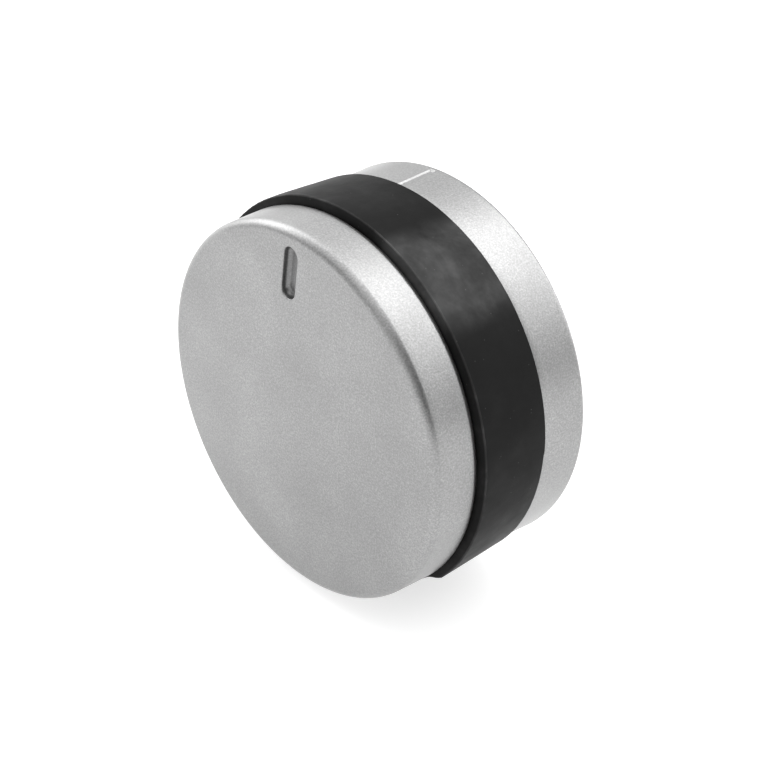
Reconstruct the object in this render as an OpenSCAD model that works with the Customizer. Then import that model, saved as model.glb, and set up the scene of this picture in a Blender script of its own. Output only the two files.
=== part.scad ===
/* Control knob for a hob or cooker: silver moulded body with a hollow back,
   black rubber grip ring in a groove, D-section shaft insert and leaf spring.
   Millimetres. +Z points out of the front face, Z = 0 is the rear rim,
   the pointer on the face points to +Y, the shaft runs along Z. */

/* [Body] */
// Height from the rear rim to the front face
knob_h = 21.5; // [21.2:0.1:23]
// Diameter of the front cap at its widest, next to the grip ring
cap_d = 44.2; // [43.8:0.1:44.6]
// Diameter of the front cap where the edge rounding starts
cap_front_d = 43.9; // [43:0.1:44]
// Radius of the rounding around the front face
face_round = 1.1; // [0.8:0.1:1.5]
// Small rounding where the cap meets the grip ring
cap_rear_round = 0.9; // [0.4:0.1:1]
// Diameter of the skirt at the rear rim
skirt_d = 45.3; // [45:0.1:45.7]
// Diameter of the skirt next to the grip ring
skirt_front_d = 44.6; // [44.3:0.1:45]
// Wall thickness of the shell
wall = 2.2; // [1.8:0.1:2.4]
// Thickness of the front wall
front_t = 2.7; // [2.4:0.1:3]

/* [Grip ring] */
// Outer diameter of the rubber ring
ring_d = 46; // [45.8:0.1:46.6]
// Width of the rubber ring along the axis
ring_w = 9.2; // [8.6:0.1:9.4]
// Height of the ring's rear edge above the rear rim
ring_z = 6.2; // [5.6:0.1:6.3]
// Outer diameter of the rubber ring at its rear edge
ring_rear_d = 45.5; // [45.2:0.1:45.8]
// Thickness of the rubber
ring_t = 2.8; // [2.4:0.1:3.2]
// Rounding of the ring's edges
ring_round = 0.15; // [0.1:0.05:0.6]

/* [Pointer] */
// Width of the pointer recess at the face
pointer_w = 2.2; // [2:0.1:2.8]
// Length of the pointer recess at the face
pointer_l = 6.2; // [5:0.1:6.4]
// Distance from the axis to the middle of the pointer recess
pointer_r = 17; // [15:0.1:17.4]
// Distance of the pointer recess to the side of the middle
pointer_x = -0.5; // [-0.8:0.1:0.8]
// Lean of the pointer recess, clockwise seen from the front
pointer_lean = 8; // [-8:1:8]
// Depth of the pointer recess
pointer_depth = 0.9; // [0.5:0.1:1.2]

/* [Index groove] */
// Width of the index groove along the skirt
index_w = 0.65; // [0.4:0.05:1.2]
// Depth of the index groove
index_depth = 0.22; // [0.15:0.01:0.4]
// Angle of the index groove from the pointer, anticlockwise seen from the front
index_a = 2; // [-10:0.5:10]
// Distance from the rear rim to the end of the index groove
index_z = 0.8; // [0.5:0.05:2]

/* [Shaft socket] */
// Diameter of the D section, for an 8 mm shaft
shaft_d = 8.1; // [8:0.05:8.2]
// Distance from the axis to the flat of the D
flat_y = 2.55; // [2.5:0.05:2.7]
// Diameter of the round lead-in, for the shaft's collar
lead_d = 8.6; // [8.6:0.1:9]
// Length of the round lead-in
lead_l = 6; // [5:0.5:7]
// Depth of the rim's back face to the insert's mouth
mouth_z = 1; // [0.5:0.1:2]
// Outer diameter of the insert
insert_d = 12; // [11.6:0.1:12.4]
// Thickness of the leaf spring
spring_t = 0.4; // [0.3:0.05:0.45]

/* [Hidden] */
$fn = 96;

ring_r = ring_d / 2;
ring_rr = ring_rear_d / 2;
ring_top = ring_z + ring_w;
groove_r = ring_r - ring_t;
cap_r = cap_d / 2;
cap_f = cap_front_d / 2;
skirt_r = skirt_d / 2;
skirt_f = skirt_front_d / 2;
rim_round = 0.4;                   // rear rim's outer edge
lip_round = 0.3;                   // skirt's edge next to the ring
core_r = groove_r - wall;          // inside of the shell behind the groove
skirt_in = skirt_r - wall;         // inside of the skirt
roof_z = knob_h - front_t;         // inner side of the front wall
shaft_r = shaft_d / 2;
insert_r = insert_d / 2;
flange_r = insert_r + 1.2;
flange_t = 1;
boss_r = insert_r + 2.2;
boss_z = mouth_z + flange_t;       // the insert's flange sits on the boss
insert_top = 17.5;
d_z = mouth_z + lead_l;            // start of the D section
d_top = insert_top - 1;
socket_r = insert_r + 0.02;
// centres of the edge roundings in the half-section
c_front = [cap_f - face_round, knob_h - face_round];
c_rear = [cap_r - cap_rear_round, ring_top + cap_rear_round];
c_lip = [skirt_f - lip_round, ring_z - lip_round];
c_rim = [skirt_r - rim_round, rim_round];
g_top = [ring_r - ring_round, ring_top - 0.02 - ring_round];
g_low = [ring_rr - ring_round, ring_z + 0.02 + ring_round];
// leaf spring: a bowed strip with a hooked tail
sp_w = 4;
sp_z0 = d_z + 0.6;
sp_z1 = d_top - 0.9;
sp_mid = (sp_z0 + sp_z1) / 2;
sp_half = (sp_z1 - sp_z0) / 2;
sp_in = flat_y - 0.15;             // crown of the bow stands proud of the flat
sp_sag = 0.55;
sp_R = (sp_half * sp_half + sp_sag * sp_sag) / (2 * sp_sag);
pocket_y = sp_in + sp_sag + spring_t + 0.02;
tail_y = pocket_y + 0.75;

// quarter disc on the outer side of a half-section: up = 1 above c, -1 below it
module quarter(c, r, up) {
    translate(c) intersection() {
        circle(r = r);
        translate([0, up > 0 ? 0 : -r]) square(r);
    }
}

// half-section of the body's outside, closed on the axis: straight walls
// with a quarter disc at each outer edge
module body_profile() {
    union() {
        polygon([
            [0, 0], [c_rim[0], 0], c_rim, [skirt_r, c_rim[1]],
            [skirt_f, c_lip[1]], c_lip, [c_lip[0], ring_z],
            [groove_r, ring_z], [groove_r, ring_top],
            [c_rear[0], ring_top], c_rear, [cap_r, c_rear[1]],
            [cap_f, c_front[1]], c_front, [c_front[0], knob_h], [0, knob_h]]);
        quarter(c_rim, rim_round, -1);
        quarter(c_lip, lip_round, 1);
        quarter(c_rear, cap_rear_round, -1);
        quarter(c_front, face_round, 1);
    }
}

// hollow back, stepped so that the wall keeps its thickness behind the groove
module cavity() {
    translate([0, 0, -1]) cylinder(r = skirt_in, h = ring_z - wall + 1);
    translate([0, 0, -1]) cylinder(r = core_r, h = roof_z + 1);
}

// an oblong frustum along Y: recess with sloping walls and round ends,
// carried on above the face by up
module oblong(w, l, depth, slope, up) {
    k = slope / depth;
    s = l / 2 - w / 2;
    r1 = w / 2 + k * up;
    r2 = w / 2 - slope;
    for (e = [-1, 1]) translate([0, e * s, -depth]) cylinder(r1 = r2, r2 = r1, h = depth + up);
    rotate([90, 0, 0]) translate([0, 0, -s]) linear_extrude(height = 2 * s)
        polygon([[-r2, -depth], [r2, -depth], [r1, up], [-r1, up]]);
}

// key that stops the insert turning in the boss
module key(w, d, z0, z1) {
    translate([-w / 2, -insert_r - d, z0]) cube([w, d + 2, z1 - z0]);
}

module knob_body() {
    color([0.72, 0.72, 0.73]) difference() {
        union() {
            difference() {
                rotate_extrude() body_profile();
                cavity();
            }
            // boss for the insert
            translate([0, 0, boss_z]) cylinder(r = boss_r, h = roof_z - boss_z + 0.5);
            // four ribs from the boss to the shell
            for (a = [45:90:315]) rotate([0, 0, a]) translate([boss_r - 0.5, -0.8, ring_z])
                cube([core_r - boss_r + 1, 1.6, roof_z - ring_z + 0.5]);
        }
        // socket and keyway
        translate([0, 0, boss_z - 1]) cylinder(r = socket_r, h = insert_top + 0.02 - boss_z + 1);
        key(3.04, 1.22, boss_z - 1, insert_top + 0.02);
        // index groove along the skirt
        rotate([0, 0, 90 + index_a]) translate([skirt_f - index_depth, -index_w / 2, index_z])
            cube([2, index_w, ring_z + 0.5 - index_z]);
        // pointer recess in the face
        translate([pointer_x, pointer_r, knob_h]) rotate([0, 0, -pointer_lean]) oblong(pointer_w, pointer_l, pointer_depth, 0.15, 0.5);
    }
}

// rubber ring: fills the groove, edges rounded, a little wider at the front
module grip_ring() {
    r0 = groove_r + 0.02;
    z0 = ring_z + 0.02;
    z1 = ring_top - 0.02;
    color([0.09, 0.09, 0.09]) rotate_extrude() union() {
        polygon([[r0, z0], [g_low[0], z0], g_low, [ring_rr, g_low[1]],
                 [ring_r, g_top[1]], g_top, [g_top[0], z1], [r0, z1]]);
        quarter(g_low, ring_round, -1);
        quarter(g_top, ring_round, 1);
    }
}

module shaft_insert() {
    color([0.16, 0.16, 0.17]) difference() {
        union() {
            translate([0, 0, mouth_z]) cylinder(r = insert_r, h = insert_top - mouth_z);
            translate([0, 0, mouth_z]) cylinder(r = flange_r, h = flange_t);
            key(3, 1.2, mouth_z, insert_top);
        }
        // round lead-in
        translate([0, 0, mouth_z - 1]) cylinder(r = lead_d / 2, h = lead_l + 1);
        // D section
        difference() {
            translate([0, 0, d_z - 1]) cylinder(r = shaft_r, h = d_top - d_z + 1);
            translate([-shaft_r, flat_y, d_z]) cube([2 * shaft_r, shaft_r, d_top - d_z + 1]);
        }
        // pocket for the spring, open to the lead-in, and the notch for its tail
        translate([-sp_w / 2 - 0.2, 0, d_z - 0.5]) cube([sp_w + 0.4, pocket_y, sp_z1 + 0.2 - d_z + 0.5]);
        translate([-sp_w / 2 - 0.2, 0, sp_z0 - 0.1]) cube([sp_w + 0.4, tail_y + 0.1, spring_t + 0.2]);
    }
}

module shaft_spring() {
    color([0.75, 0.75, 0.76]) rotate([90, 0, 90]) translate([0, 0, -sp_w / 2]) linear_extrude(height = sp_w) union() {
        // bowed leaf
        intersection() {
            difference() {
                translate([sp_in + sp_R, sp_mid]) circle(r = sp_R, $fn = 180);
                translate([sp_in + sp_R, sp_mid]) circle(r = sp_R - spring_t, $fn = 180);
            }
            translate([sp_in - 0.1, sp_z0]) square([2, sp_z1 - sp_z0]);
        }
        // hooked tail
        translate([sp_in + sp_sag + spring_t / 2, sp_z0]) square([tail_y - sp_in - sp_sag - spring_t / 2, spring_t]);
    }
}

knob_body();
grip_ring();
shaft_insert();
shaft_spring();
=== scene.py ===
import bpy, bmesh, math
from mathutils import Matrix, Vector, noise


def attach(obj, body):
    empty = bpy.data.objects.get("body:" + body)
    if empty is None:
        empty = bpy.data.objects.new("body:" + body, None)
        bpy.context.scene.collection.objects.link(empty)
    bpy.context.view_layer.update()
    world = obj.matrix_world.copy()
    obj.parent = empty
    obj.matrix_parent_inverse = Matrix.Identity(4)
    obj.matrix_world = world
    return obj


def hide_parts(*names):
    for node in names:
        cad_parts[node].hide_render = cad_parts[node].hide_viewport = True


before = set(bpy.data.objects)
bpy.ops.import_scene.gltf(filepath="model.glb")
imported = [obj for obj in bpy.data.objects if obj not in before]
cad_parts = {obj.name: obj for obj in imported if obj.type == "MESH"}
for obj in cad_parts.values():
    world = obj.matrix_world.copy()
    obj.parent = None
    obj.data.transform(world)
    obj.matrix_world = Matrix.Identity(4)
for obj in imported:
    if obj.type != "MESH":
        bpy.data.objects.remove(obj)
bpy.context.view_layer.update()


MM = 0.001

# sizes of the knob in millimetres, as built
H = 21.5
CAP_R, CAP_F, FACE_Q, REAR_Q = 22.1, 21.95, 1.1, 0.9
RING_R, RING_RR, RING_Z, RING_T, RING_Q = 23.0, 22.75, 6.2, 15.4, 0.15
GROOVE = 20.2
SK_R, SK_F, RIM_Q, LIP_Q = 22.65, 22.3, 0.4, 0.3
SK_IN, CORE, STEP_Z, ROOF = 20.45, 18.0, 4.0, 18.8
BOSS, BOSS_Z, SOCK, SOCK_Z = 8.2, 2.0, 6.02, 17.52
PT_W, PT_L, PT_X, PT_R, PT_LEAN = 2.2, 6.2, -0.5, 17.0, 8.0
IDX_A, IDX_W, IDX_D, IDX_Z = 92.0, 0.65, 0.22, 0.8
IDX_V = 0.16


def arc(c, r, a0, a1, n):
    return [(c[0] + r * math.cos(math.radians(a0 + (a1 - a0) * i / n)),
             c[1] + r * math.sin(math.radians(a0 + (a1 - a0) * i / n))) for i in range(n + 1)]


def touch(c1, r1, c2, r2):
    """Angle of the normal of the line that touches two circles on their outer side."""
    d = (c1[0] - c2[0], c1[1] - c2[1])
    return math.degrees(math.atan2(d[1], d[0]) - math.acos((r2 - r1) / math.hypot(*d)))


def between(p, q, n):
    return [(p[0] + (q[0] - p[0]) * i / n, p[1] + (q[1] - p[1]) * i / n) for i in range(1, n)]


def smooth(o, angle=50):
    me = o.data
    for p in me.polygons:
        p.use_smooth = True
    me.set_sharp_from_angle(angle=math.radians(angle))


def piece(name, bm, slot, mat, *nodes):
    me = bpy.data.meshes.new(name)
    bm.to_mesh(me)
    bm.free()
    o = bpy.data.objects.new(name, me)
    bpy.context.scene.collection.objects.link(o)
    me.materials.append(mat)
    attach(o, "root")
    if nodes:
        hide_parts(*nodes)
    return o


# ---------------------------------------------------------------- materials
def material(name):
    m = bpy.data.materials.new(name)
    m.use_nodes = True
    t = m.node_tree
    b = t.nodes["Principled BSDF"]
    return m, t, b


def node(t, kind, **kw):
    n = t.nodes.new(kind)
    for k, v in kw.items():
        if k in n.inputs:
            n.inputs[k].default_value = v
        else:
            setattr(n, k, v)
    return n


def tex(t, scale, detail=2.0, rough=0.5, dist=0.0):
    n = node(t, "ShaderNodeTexNoise")
    n.inputs["Scale"].default_value = scale
    n.inputs["Detail"].default_value = detail
    n.inputs["Roughness"].default_value = rough
    n.inputs["Distortion"].default_value = dist
    return n


def ramp(t, src, stops):
    r = t.nodes.new("ShaderNodeValToRGB")
    e = r.color_ramp.elements
    while len(e) < len(stops):
        e.new(0.5)
    for i, (p, c) in enumerate(stops):
        e[i].position = p
        e[i].color = (c, c, c, 1) if not isinstance(c, tuple) else (*c, 1)
    t.links.new(src, r.inputs["Fac"])
    return r


def math_node(t, op, a, b):
    n = t.nodes.new("ShaderNodeMath")
    n.operation = op
    for i, v in enumerate((a, b)):
        if isinstance(v, (int, float)):
            n.inputs[i].default_value = v
        else:
            t.links.new(v, n.inputs[i])
    return n.outputs[0]


def coords(t):
    c = t.nodes.new("ShaderNodeTexCoord")
    return c.outputs["Object"]


def silver_paint():
    m, t, b = material("silver_flake_paint")
    co = coords(t)
    grain = tex(t, 5200, 2.0, 0.6)
    fine = tex(t, 11000, 1.0, 0.5)
    cloud = tex(t, 90, 3.0, 0.5)
    for n in (grain, fine, cloud):
        t.links.new(co, n.inputs["Vector"])
    g = math_node(t, "ADD", math_node(t, "MULTIPLY", grain.outputs["Fac"], 0.72),
                  math_node(t, "MULTIPLY", cloud.outputs["Fac"], 0.28))
    col = ramp(t, g, [(0.28, 0.225), (0.50, 0.298), (0.63, 0.362), (0.75, 0.50)])
    # painted shade: the paint colour is darkened inside the pointer recess, most at its floor
    xyz = t.nodes.new("ShaderNodeSeparateXYZ")
    t.links.new(co, xyz.inputs["Vector"])
    flat = t.nodes.new("ShaderNodeVectorMath")
    flat.operation = "MULTIPLY"
    flat.inputs[1].default_value = (1, 1, 0)
    t.links.new(co, flat.inputs[0])
    rad = t.nodes.new("ShaderNodeVectorMath")
    rad.operation = "LENGTH"
    t.links.new(flat.outputs["Vector"], rad.inputs[0])
    inside = math_node(t, "MULTIPLY", math_node(t, "LESS_THAN", rad.outputs["Value"], 0.0204),
                       math_node(t, "GREATER_THAN", xyz.outputs["Z"], 0.0195))
    deep = t.nodes.new("ShaderNodeMapRange")
    deep.inputs["From Min"].default_value = 0.02146
    deep.inputs["From Max"].default_value = 0.0211
    t.links.new(xyz.outputs["Z"], deep.inputs["Value"])
    recess_shade = math_node(t, "SUBTRACT", 1.0, math_node(t, "MULTIPLY", math_node(t, "MULTIPLY", inside, deep.outputs["Result"]), 0.42))
    tone = t.nodes.new("ShaderNodeVectorMath")
    tone.operation = "SCALE"
    t.links.new(col.outputs["Color"], tone.inputs[0])
    t.links.new(recess_shade, tone.inputs["Scale"])
    t.links.new(tone.outputs["Vector"], b.inputs["Base Color"])
    rg = ramp(t, grain.outputs["Fac"], [(0.3, 0.29), (0.7, 0.35)])
    t.links.new(rg.outputs["Color"], b.inputs["Roughness"])
    b.inputs["Metallic"].default_value = 0.85
    b.inputs["Specular IOR Level"].default_value = 0.5
    hsum = math_node(t, "ADD", grain.outputs["Fac"], math_node(t, "MULTIPLY", fine.outputs["Fac"], 0.6))
    bump = t.nodes.new("ShaderNodeBump")
    bump.inputs["Strength"].default_value = 0.32
    bump.inputs["Distance"].default_value = 0.00003
    t.links.new(hsum, bump.inputs["Height"])
    t.links.new(bump.outputs["Normal"], b.inputs["Normal"])
    return m


def black_rubber():
    m, t, b = material("black_rubber")
    co = coords(t)
    smudge = tex(t, 140, 4.0, 0.55, 0.6)
    streak = tex(t, 420, 3.0, 0.6)
    pores = tex(t, 3800, 2.0, 0.6)
    dust = node(t, "ShaderNodeTexVoronoi")
    dust.inputs["Scale"].default_value = 900
    for n in (smudge, streak, pores, dust):
        t.links.new(co, n.inputs["Vector"])
    mix = math_node(t, "ADD", math_node(t, "MULTIPLY", smudge.outputs["Fac"], 0.65),
                    math_node(t, "MULTIPLY", streak.outputs["Fac"], 0.35))
    col = ramp(t, mix, [(0.30, 0.0075), (0.52, 0.0095), (0.75, 0.014)])
    unit = t.nodes.new("ShaderNodeVectorMath")
    unit.operation = "MULTIPLY"
    unit.inputs[1].default_value = (1, 1, 0)
    t.links.new(co, unit.inputs[0])
    nrm = t.nodes.new("ShaderNodeVectorMath")
    nrm.operation = "NORMALIZE"
    t.links.new(unit.outputs["Vector"], nrm.inputs[0])
    # painted sheen: the rubber is made paler on its upper right side, where the light falls, broken up by the smudge
    # noise
    side = t.nodes.new("ShaderNodeVectorMath")
    side.operation = "DOT_PRODUCT"
    side.inputs[1].default_value = (math.cos(math.radians(56)), math.sin(math.radians(56)), 0)
    t.links.new(nrm.outputs["Vector"], side.inputs[0])
    lit_side = t.nodes.new("ShaderNodeMapRange")
    lit_side.interpolation_type = "SMOOTHSTEP"
    lit_side.inputs["From Min"].default_value = math.cos(math.radians(18))
    lit_side.inputs["From Max"].default_value = math.cos(math.radians(5))
    t.links.new(side.outputs["Value"], lit_side.inputs["Value"])
    sheen_tone = ramp(t, mix, [(0.36, 0.012), (0.54, 0.040), (0.72, 0.075)])
    painted_sheen = t.nodes.new("ShaderNodeVectorMath")
    painted_sheen.operation = "SCALE"
    t.links.new(sheen_tone.outputs["Color"], painted_sheen.inputs[0])
    t.links.new(lit_side.outputs["Result"], painted_sheen.inputs["Scale"])
    both = t.nodes.new("ShaderNodeVectorMath")
    both.operation = "ADD"
    t.links.new(col.outputs["Color"], both.inputs[0])
    t.links.new(painted_sheen.outputs["Vector"], both.inputs[1])
    # painted highlight: the rubber is made paler along its front edge, and painted light lifts the front face near the
    # cap
    pos = t.nodes.new("ShaderNodeSeparateXYZ")
    t.links.new(co, pos.inputs["Vector"])
    far = t.nodes.new("ShaderNodeVectorMath")
    far.operation = "LENGTH"
    t.links.new(unit.outputs["Vector"], far.inputs[0])
    rim = math_node(t, "MULTIPLY", math_node(t, "GREATER_THAN", pos.outputs["Z"], 0.01524),
                    math_node(t, "GREATER_THAN", far.outputs["Value"], 0.02284))
    edge_sheen_tone = ramp(t, mix, [(0.32, 0.006), (0.50, 0.022), (0.68, 0.06)])
    edge = t.nodes.new("ShaderNodeVectorMath")
    edge.operation = "SCALE"
    t.links.new(edge_sheen_tone.outputs["Color"], edge.inputs[0])
    front = math_node(t, "MULTIPLY", math_node(t, "GREATER_THAN", pos.outputs["Z"], 0.01536), 0.25)
    t.links.new(math_node(t, "MAXIMUM", rim, front), edge.inputs["Scale"])
    every = t.nodes.new("ShaderNodeVectorMath")
    every.operation = "ADD"
    t.links.new(both.outputs["Vector"], every.inputs[0])
    t.links.new(edge.outputs["Vector"], every.inputs[1])
    speck = ramp(t, dust.outputs["Distance"], [(0.0, 0.06), (0.05, 0.02), (0.08, 0.0)])
    add = t.nodes.new("ShaderNodeMix")
    add.data_type = "RGBA"
    add.blend_type = "ADD"
    add.inputs["Factor"].default_value = 1.0
    t.links.new(every.outputs["Vector"], add.inputs["A"])
    t.links.new(speck.outputs["Color"], add.inputs["B"])
    t.links.new(add.outputs["Result"], b.inputs["Base Color"])
    rg = ramp(t, mix, [(0.30, 0.50), (0.55, 0.43), (0.75, 0.36)])
    t.links.new(rg.outputs["Color"], b.inputs["Roughness"])
    b.inputs["Specular IOR Level"].default_value = 0.05
    bump = t.nodes.new("ShaderNodeBump")
    bump.inputs["Strength"].default_value = 0.25
    bump.inputs["Distance"].default_value = 0.00003
    t.links.new(pores.outputs["Fac"], bump.inputs["Height"])
    t.links.new(bump.outputs["Normal"], b.inputs["Normal"])
    return m


def black_nylon():
    m, t, b = material("black_nylon")
    co = coords(t)
    fib = tex(t, 2600, 3.0, 0.6)
    flow = tex(t, 260, 2.0, 0.5)
    for n in (fib, flow):
        t.links.new(co, n.inputs["Vector"])
    col = ramp(t, flow.outputs["Fac"], [(0.3, 0.018), (0.7, 0.034)])
    t.links.new(col.outputs["Color"], b.inputs["Base Color"])
    rg = ramp(t, fib.outputs["Fac"], [(0.3, 0.42), (0.7, 0.60)])
    t.links.new(rg.outputs["Color"], b.inputs["Roughness"])
    bump = t.nodes.new("ShaderNodeBump")
    bump.inputs["Strength"].default_value = 0.3
    bump.inputs["Distance"].default_value = 0.00003
    t.links.new(fib.outputs["Fac"], bump.inputs["Height"])
    t.links.new(bump.outputs["Normal"], b.inputs["Normal"])
    return m


def spring_steel():
    m, t, b = material("spring_steel")
    co = coords(t)
    mp = t.nodes.new("ShaderNodeMapping")
    mp.inputs["Scale"].default_value = (9000, 700, 500)
    t.links.new(co, mp.inputs["Vector"])
    br = tex(t, 1.0, 2.0, 0.6)
    t.links.new(mp.outputs["Vector"], br.inputs["Vector"])
    col = ramp(t, br.outputs["Fac"], [(0.3, (0.46, 0.46, 0.47)), (0.7, (0.62, 0.62, 0.63))])
    t.links.new(col.outputs["Color"], b.inputs["Base Color"])
    rg = ramp(t, br.outputs["Fac"], [(0.3, 0.25), (0.7, 0.38)])
    t.links.new(rg.outputs["Color"], b.inputs["Roughness"])
    b.inputs["Metallic"].default_value = 1.0
    return m


SILVER, RUBBER, NYLON, STEEL = silver_paint(), black_rubber(), black_nylon(), spring_steel()

# ---------------------------------------------------------------- body
c_front, c_rear = (CAP_F - FACE_Q, H - FACE_Q), (CAP_R - REAR_Q, RING_T + REAR_Q)
c_lip, c_rim = (SK_F - LIP_Q, RING_Z - LIP_Q), (SK_R - RIM_Q, RIM_Q)
cap_a = touch(c_front, FACE_Q, c_rear, REAR_Q)
sk_a = touch(c_lip, LIP_Q, c_rim, RIM_Q)

top_arc = arc(c_front, FACE_Q, 90, cap_a, 14)
rear_arc = arc(c_rear, REAR_Q, cap_a, -90, 12)
lip_arc = arc(c_lip, LIP_Q, 90, sk_a, 6)
rim_arc = arc(c_rim, RIM_Q, sk_a, -90, 8)


def on_skirt(z):
    p, q = lip_arc[-1], rim_arc[0]
    k = (z - p[1]) / (q[1] - p[1])
    return (p[0] + (q[0] - p[0]) * k, z)


skirt_rows = [on_skirt(z) for z in (5.2, 4.4, 3.6, 2.8, 2.0, 1.4, 1.1, 0.98, 0.92, 0.87, 0.82, 0.76, 0.70, 0.62)]
rows = list(top_arc)
rows += between(top_arc[-1], rear_arc[0], 6)
rows += rear_arc
rows += [(GROOVE, RING_T), (GROOVE, RING_Z)]
rows += lip_arc
i_sk = len(rows) - 4
rows += skirt_rows
rows += rim_arc
rows += arc((SK_IN + 0.25, 0.25), 0.25, 270, 180, 4)
rows += [(SK_IN, STEP_Z - 0.25)] + arc((SK_IN - 0.25, STEP_Z - 0.25), 0.25, 0, 90, 4)[1:]
rows += arc((CORE + 0.2, STEP_Z - 0.2), 0.2, 90, 180, 4)
rows[-5:] = [(CORE + 0.2, STEP_Z)] + [(CORE + 0.2 - 0.2 * math.sin(math.radians(a)), STEP_Z + 0.2 - 0.2 * math.cos(math.radians(a))) for a in (22.5, 45, 67.5, 90)]
rows += [(CORE, 10.0), (CORE, ROOF - 0.5)] + arc((CORE - 0.5, ROOF - 0.5), 0.5, 0, 90, 4)[1:]
rows += [(13.0, ROOF), (BOSS + 0.5, ROOF)]
rows += [(BOSS + 0.5 - 0.5 * math.sin(math.radians(a)), ROOF - 0.5 + 0.5 * math.cos(math.radians(a))) for a in (22.5, 45, 67.5, 90)]
rows += [(BOSS, 10.0), (BOSS, BOSS_Z + 0.2), (BOSS - 0.06, BOSS_Z + 0.06), (BOSS - 0.2, BOSS_Z), (SOCK, BOSS_Z), (SOCK, SOCK_Z)]

half = math.degrees(IDX_W / 2 / 22.45)
fine = [half * k for k in (-1.45, -1.32, -1.2, -1.0, -0.78, -0.66, -0.3, 0.3, 0.66, 0.78, 1.0, 1.2, 1.32, 1.45)]
angles = sorted([i * 1.25 for i in range(288) if abs(i * 1.25 - IDX_A) > 1.6 * half] + [IDX_A + d for d in fine])


def step(x, a, b):
    t = min(1.0, max(0.0, (x - a) / (b - a)))
    return t * t * (3 - 2 * t)


bm = bmesh.new()
cols = []
for a in angles:
    ca, sa = math.cos(math.radians(a)), math.sin(math.radians(a))
    g = 1 - min(1.0, max(0.0, (abs(a - IDX_A) / half - 0.7) / 0.58))
    col = []
    for i, (r, z) in enumerate(rows):
        if g > 0 and i_sk - 6 <= i < i_sk + 4 + len(skirt_rows):
            r -= IDX_V * min(g, min(1.0, max(0.0, (z - IDX_Z + 0.08) / 0.2)))
        col.append(bm.verts.new((r * ca * MM, r * sa * MM, z * MM)))
    cols.append(col)
n = len(cols)
for i in range(n):
    p, q = cols[i], cols[(i + 1) % n]
    for j in range(len(rows) - 1):
        bm.faces.new((p[j], p[j + 1], q[j + 1], q[j]))
# closed end of the socket
end = bm.verts.new((0, 0, SOCK_Z * MM))
for i in range(n):
    bm.faces.new((cols[i][-1], end, cols[(i + 1) % n][-1]))

# pointer recess: loops of an oblong outline that follow a rounded section
PT_N = 20
lean_c, lean_s = math.cos(math.radians(PT_LEAN)), math.sin(math.radians(PT_LEAN))


def oblong(inset, z):
    r, s = PT_W / 2 - inset, PT_L / 2 - PT_W / 2
    pts = []
    for e, a0 in ((1, 0), (-1, 180)):
        for k in range(PT_N + 1):
            a = math.radians(a0 + 180 * k / PT_N)
            u, v = r * math.cos(a), e * s + r * math.sin(a)
            pts.append((PT_X + u * lean_c + v * lean_s, PT_R - u * lean_s + v * lean_c, z))
    return [bm.verts.new((x * MM, y * MM, w * MM)) for x, y, w in pts]


section = [(-0.16, 0.0), (-0.11, -0.006), (-0.06, -0.025), (-0.015, -0.06), (0.015, -0.11), (0.03, -0.17), (0.05, -0.35)]
section += [(0.60 - 0.55 * math.cos(math.radians(a)), -0.35 - 0.55 * math.sin(math.radians(a))) for a in (15, 30, 45, 60, 75, 90)]
loops = [oblong(d, H + z) for d, z in section]
for a, b in zip(loops, loops[1:]):
    m = len(a)
    for k in range(m):
        bm.faces.new((a[k], a[(k + 1) % m], b[(k + 1) % m], b[k]))
bm.faces.new(loops[-1])
# the flat face between the edge rounding and the recess
rim = [c[0] for c in cols]
es = []
for lp in (rim, loops[0]):
    for k in range(len(lp)):
        v, w = lp[k], lp[(k + 1) % len(lp)]
        es.append(bm.edges.get((v, w)) or bm.edges.new((v, w)))
res = bmesh.ops.triangle_fill(bm, use_beauty=True, use_dissolve=False, edges=es, normal=(0, 0, 1))
bmesh.ops.recalc_face_normals(bm, faces=bm.faces[:])
body = piece("knob_body_visual", bm, "silver_paint", SILVER, "knob_body")

# ribs between boss and shell, joined into the moulding
rb = bmesh.new()
for k in range(4):
    a = math.radians(45 + 90 * k)
    x0, x1, z0, z1 = BOSS - 0.6, CORE + 0.6, RING_Z, ROOF + 0.4
    vs = [Vector((x, y, z)) for x in (x0, x1) for y in (-0.8, 0.8) for z in (z0, z1)]
    vv = [rb.verts.new(Matrix.Rotation(a, 3, "Z") @ v * MM) for v in vs]
    for f in ((0, 1, 3, 2), (4, 6, 7, 5), (0, 4, 5, 1), (2, 3, 7, 6), (0, 2, 6, 4), (1, 5, 7, 3)):
        rb.faces.new([vv[i] for i in f])
bmesh.ops.recalc_face_normals(rb, faces=rb.faces[:])
rme = bpy.data.meshes.new("ribs_tmp")
rb.to_mesh(rme)
rb.free()
ribs = bpy.data.objects.new("ribs_tmp", rme)
bpy.context.scene.collection.objects.link(ribs)
md = body.modifiers.new("ribs", "BOOLEAN")
md.operation = "UNION"
md.solver = "EXACT"
md.object = ribs
dg = bpy.context.evaluated_depsgraph_get()
joined = bpy.data.meshes.new_from_object(body.evaluated_get(dg))
body.modifiers.clear()
body.data = joined
bpy.data.objects.remove(ribs)
joined.materials.clear()
joined.materials.append(SILVER)
smooth(body, 40)

# ---------------------------------------------------------------- grip ring
g_top, g_low = (RING_R - RING_Q, RING_T - 0.02 - RING_Q), (RING_RR - RING_Q, RING_Z + 0.02 + RING_Q)
r_a = touch(g_top, RING_Q, g_low, RING_Q)
ta, la = arc(g_top, RING_Q, 90, r_a, 6), arc(g_low, RING_Q, r_a, -90, 6)
def along(p, q, ks):
    return [(p[0] + (q[0] - p[0]) * k, p[1] + (q[1] - p[1]) * k) for k in ks]


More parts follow.
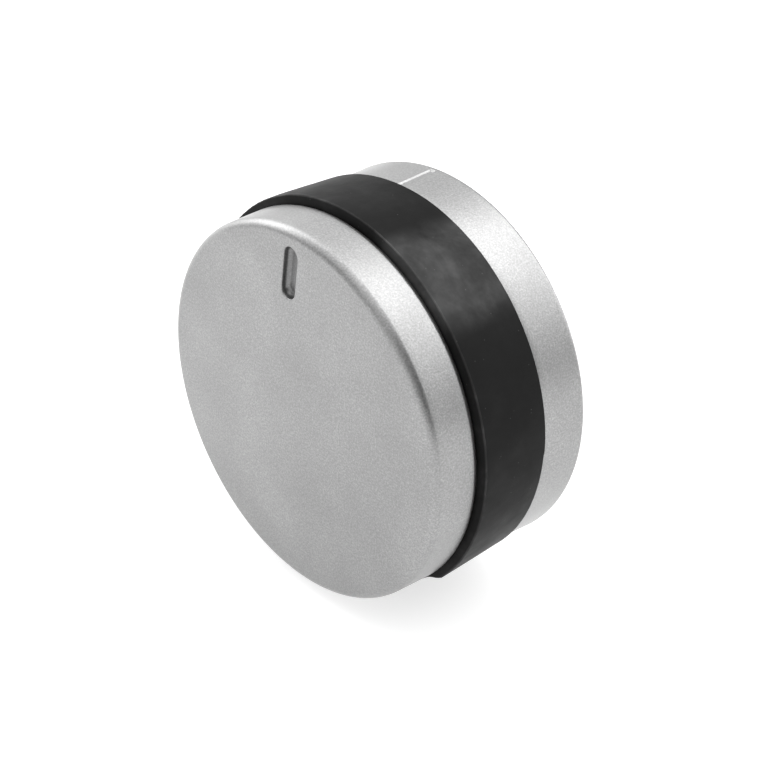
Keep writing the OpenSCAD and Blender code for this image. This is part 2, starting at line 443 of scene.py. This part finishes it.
prof = [(GROOVE + 0.02, RING_T - 0.02), (21.4, RING_T - 0.02), (22.2, RING_T - 0.02), (g_top[0] - 0.04, RING_T - 0.02)] + ta
prof += along(ta[-1], la[0], (0.005, 0.03, 0.08, 0.16, 0.24, 0.32, 0.4, 0.48, 0.56, 0.64, 0.72, 0.8, 0.88, 0.94, 0.97, 0.995)) + la
prof += [(g_low[0] - 0.04, RING_Z + 0.02), (22.0, RING_Z + 0.02), (21.2, RING_Z + 0.02), (GROOVE + 0.02, RING_Z + 0.02)]
bm = bmesh.new()
cols = []
NR = 480
for i in range(NR):
    a = 2 * math.pi * i / NR
    ca, sa = math.cos(a), math.sin(a)
    deg = math.degrees(a)
    col = []
    for r, z in prof:
        if r > 21.5:
            w = min(1.0, (r - 21.5) / 0.8)
            d = noise.noise(Vector((ca * 3.1, sa * 3.1, z * 0.10))) * 0.03
            d += noise.noise(Vector((ca * 26, sa * 26, z * 0.5 + 7))) * 0.012
            r2 = r + w * d
            edge = step(z, RING_T - 0.35, RING_T - 0.12)
            r2 += w * edge * (noise.noise(Vector((ca * 60, sa * 60, 3.3))) * 0.035)
            # a little out of round near the top
            r2 += w * 0.07 * step(deg, 88, 112) * (1 - step(deg, 116, 150)) * (1 - step(z, 13.5, 15.3))
            # the front edge is drawn in along the lower sector that the knob stands on
            below = 360 - deg
            pulled = step(below, 41.5, 48.5) * (1 - step(below, 150, 165)) if deg > 180 else 0.0
            r2 -= w * pulled * 0.75 * min(1.0, max(0.0, (z - 11.4) / 4.0))
            low = 1 - step(z, RING_Z + 0.1, RING_Z + 1.6)
            dz = low * w * (0.01 + 0.03 * noise.noise(Vector((ca * 5, sa * 5, 9.1))))
            # slight step in the rear edge
            s = (359.5 - deg) % 360
            dz += low * w * 0.10 * step(s, 0, 1) * (1 - step(s, 10, 35))
            col.append(bm.verts.new((r2 * ca * MM, r2 * sa * MM, (z + dz) * MM)))
        else:
            col.append(bm.verts.new((r * ca * MM, r * sa * MM, z * MM)))
    cols.append(col)
for i in range(NR):
    p, q = cols[i], cols[(i + 1) % NR]
    for j in range(len(prof)):
        k = (j + 1) % len(prof)
        bm.faces.new((p[j], p[k], q[k], q[j]))
bmesh.ops.recalc_face_normals(bm, faces=bm.faces[:])
ring = piece("grip_ring_visual", bm, "black_rubber", RUBBER, "grip_ring")
smooth(ring, 60)

# ---------------------------------------------------------------- carried-over nodes
for name, mat in (("shaft_insert", NYLON), ("shaft_spring", STEEL)):
    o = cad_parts[name]
    for s in o.material_slots:
        s.material = mat

# ---------------------------------------------------------------- floor, light, camera
fm, ft, fb = material("pale_floor")
fn = tex(ft, 40, 3.0, 0.5)
ft.links.new(coords(ft), fn.inputs["Vector"])
fc = ramp(ft, fn.outputs["Fac"], [(0.3, 0.49), (0.7, 0.51)])
ft.links.new(fc.outputs["Color"], fb.inputs["Base Color"])
fb.inputs["Roughness"].default_value = 0.9
fb.inputs["Emission Color"].default_value = (1, 1, 1, 1)
fb.inputs["Emission Strength"].default_value = 0.68
fb.inputs["Specular IOR Level"].default_value = 0.1
bm = bmesh.new()
bmesh.ops.create_grid(bm, x_segments=8, y_segments=8, size=3.0)
fme = bpy.data.meshes.new("floor")
bm.to_mesh(fme)
bm.free()
floor = bpy.data.objects.new("floor", fme)
# the knob stands upright on its ring, pointer up
floor.rotation_euler = (-math.pi / 2, 0, 0)
floor.location = (0, -0.02301, 0)
bpy.context.scene.collection.objects.link(floor)
fme.materials.append(fm)

CAM = Vector((0.114421, 0.091653, 0.114784))
RIGHT = Vector((0.67442, 0.0104, -0.73828))
DOWN = Vector((0.38167, -0.86086, 0.33653))
FWD = Vector((-0.63205, -0.50874, -0.58455))
cd = bpy.data.cameras.new("camera")
cd.lens = 75.79
cd.sensor_width = 36.0
cd.clip_start = 0.005
cam = bpy.data.objects.new("camera", cd)
bpy.context.scene.collection.objects.link(cam)
up, back = -DOWN, -FWD
cam.matrix_world = Matrix(((RIGHT.x, up.x, back.x, CAM.x), (RIGHT.y, up.y, back.y, CAM.y),
                           (RIGHT.z, up.z, back.z, CAM.z), (0, 0, 0, 1)))
bpy.context.scene.camera = cam


def direction(az, el):
    """Seen from the standing knob: azimuth 0 in front of the face, 90 to its right, elevation above the floor."""
    a, e = math.radians(az), math.radians(el)
    return Vector((math.cos(e) * math.sin(a), math.sin(e), math.cos(e) * math.cos(a)))


# soft studio surround: pale panels with wide soft edges around and above the knob,
# dark where the camera stands
PANELS = [(0, 8, 1.0), (30, 8, 0.7), (60, 8, 0.3), (120, 8, 0.25), (150, 8, 1.85), (240, 8, 0.7),
          (270, 8, 1.9), (150, 30, 2.7), (240, 30, 1.1), (300, 30, 0.4),
          (0, 55, 1.0), (45, 58, 0.7), (135, 55, 0.3), (180, 55, 2.4), (225, 55, 1.05), (315, 55, 0.6), (0, 90, 1.5),
          (150, 48, 1.1)]
world = bpy.data.worlds.new("studio")
bpy.context.scene.world = world
world.use_nodes = True
wt = world.node_tree
bg = wt.nodes["Background"]
bg.inputs["Color"].default_value = (1, 1, 1, 1)
tc = wt.nodes.new("ShaderNodeTexCoord")


def wmath(op, a, b=None):
    n = wt.nodes.new("ShaderNodeMath")
    n.operation = op
    for i, v in enumerate((a, b)):
        if isinstance(v, (int, float)):
            n.inputs[i].default_value = v
        elif v is not None:
            wt.links.new(v, n.inputs[i])
    return n.outputs[0]


def panel(az, el, power, tight=16.0):
    dot = wt.nodes.new("ShaderNodeVectorMath")
    dot.operation = "DOT_PRODUCT"
    dot.inputs[1].default_value = direction(az, el)
    wt.links.new(tc.outputs["Generated"], dot.inputs[0])
    return wmath("MULTIPLY", wmath("EXPONENT", wmath("MULTIPLY", wmath("SUBTRACT", dot.outputs["Value"], 1.0), tight)), power)


total = 0.0
for az, el, power in PANELS:
    total = wmath("ADD", total, panel(az, el, power))
total = wmath("ADD", total, panel(171, 53, 1.2, 45.0))
total = wmath("ADD", total, panel(274, 33, 3.6, 25.0))
total = wmath("ADD", total, panel(294, 27, 1.7, 30.0))
total = wmath("ADD", total, panel(340, 8, 0.6, 25.0))
total = wmath("ADD", total, panel(10, 38, 0.5, 30.0))
total = wmath("ADD", total, panel(260, 52, 2.0, 28.0))
total = wmath("ADD", total, panel(306, 12, 0.8, 30.0))
total = wmath("ADD", total, panel(95, 68, 0.9, 20.0))
wt.links.new(total, bg.inputs["Strength"])

sc = bpy.context.scene
sc.view_settings.view_transform = "Standard"
sc.view_settings.look = "None"
sc.view_settings.exposure = 0.0
sc.view_settings.gamma = 1.0
